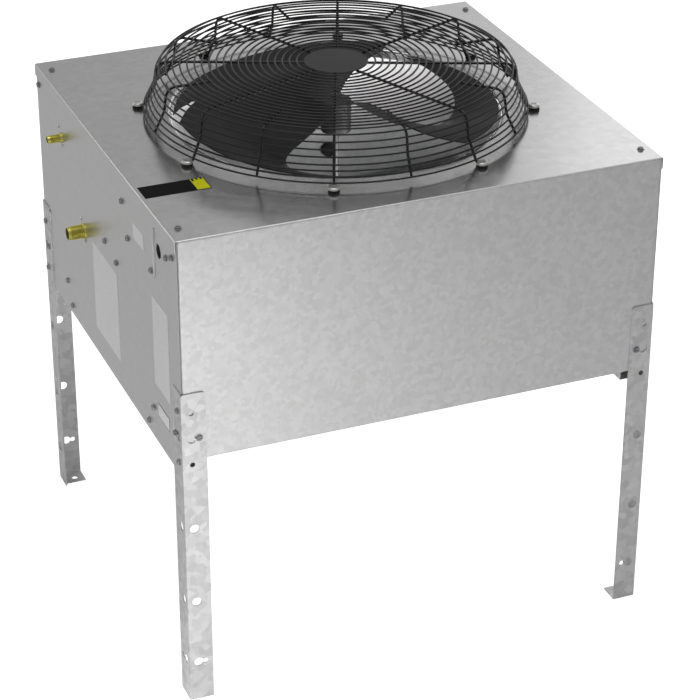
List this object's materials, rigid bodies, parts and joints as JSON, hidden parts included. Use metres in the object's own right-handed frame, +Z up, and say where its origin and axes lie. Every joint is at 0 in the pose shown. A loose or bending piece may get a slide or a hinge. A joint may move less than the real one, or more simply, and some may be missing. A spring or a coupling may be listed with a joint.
{
  "type": "remote condenser",
  "caption": "Galvanised remote condenser on angle legs: flat coil in an open-bottomed cabinet, upward-blowing fan in the top deck under a domed wire guard.",
  "frame": {"origin": "on the floor, at the centre of the rectangle of the four foot holes", "axes": "+Z up; -Y out of the plain front panel; -X out of the service side that carries the two couplings"},
  "size_m": [0.8046, 0.7272, 0.8719],
  "materials": {
    "deck_steel": "smooth galvanised sheet, semi-gloss",
    "spangled_steel": "galvanised sheet with a fine spangle",
    "panel_steel": "galvanised sheet with a faint upright grain",
    "leg_steel": "galvanised sheet with a bold spangle",
    "bracket_steel": "galvanised sheet",
    "zinc_screw": "bright zinc plate",
    "guard_black": "matte black powder coat",
    "disc_black": "matte black powder coat, fine grain",
    "washer_rubber": "matte",
    "blade_black": "matte black with a fine grain",
    "hub_steel": "matte black",
    "shaft_steel": "ground bright",
    "motor_grey": "satin light grey",
    "bearing_bronze": "sintered bronze",
    "fin_aluminium": "thin bright fins",
    "copper": "drawn copper, slightly dull",
    "coupling_brass": "machined yellow brass",
    "can_aluminium": "drawn can, dull",
    "block_plastic": "matte black"
  },
  "bodies": {
    "cabinet": {"top_deck": "deck_steel", "front_panel": "spangled_steel", "rear_panel": "spangled_steel", "left_panel": "panel_steel", "right_panel": "panel_steel", "leg_front_left": "leg_steel", "leg_front_right": "leg_steel", "leg_rear_left": "leg_steel", "leg_rear_right": "leg_steel", "leg_screws": "zinc_screw", "panel_screws": "zinc_screw", "deck_screws": "zinc_screw", "guard_top_rings": "guard_black", "guard_side_rings": "guard_black", "guard_long_struts": "guard_black", "guard_short_struts": "guard_black", "guard_disc": "disc_black", "guard_washers": "washer_rubber", "guard_screws": "zinc_screw", "motor_body": "motor_grey", "motor_bearings": "bearing_bronze", "motor_bracket": "bracket_steel", "motor_bolts": "zinc_screw", "coil_fins": "fin_aluminium", "coil_end_plate_left": "bracket_steel", "coil_end_plate_right": "bracket_steel", "coil_bends_left": "copper", "coil_bends_right": "copper", "coil_pipes": "copper", "liquid_coupling": "coupling_brass", "gas_coupling": "coupling_brass", "control_box": "bracket_steel", "capacitor": "can_aluminium", "terminal_block": "block_plastic"},
    "fan": {"fan_blades": "blade_black", "fan_hub": "hub_steel", "fan_shaft": "shaft_steel"}
  },
  "joints": [
    {"name": "fan_spin", "type": "hinge", "parent": "cabinet", "child": "fan", "pos_m": [0, 0, 0.76], "axis": [0, 0, 1], "continuous": true}
  ]
}
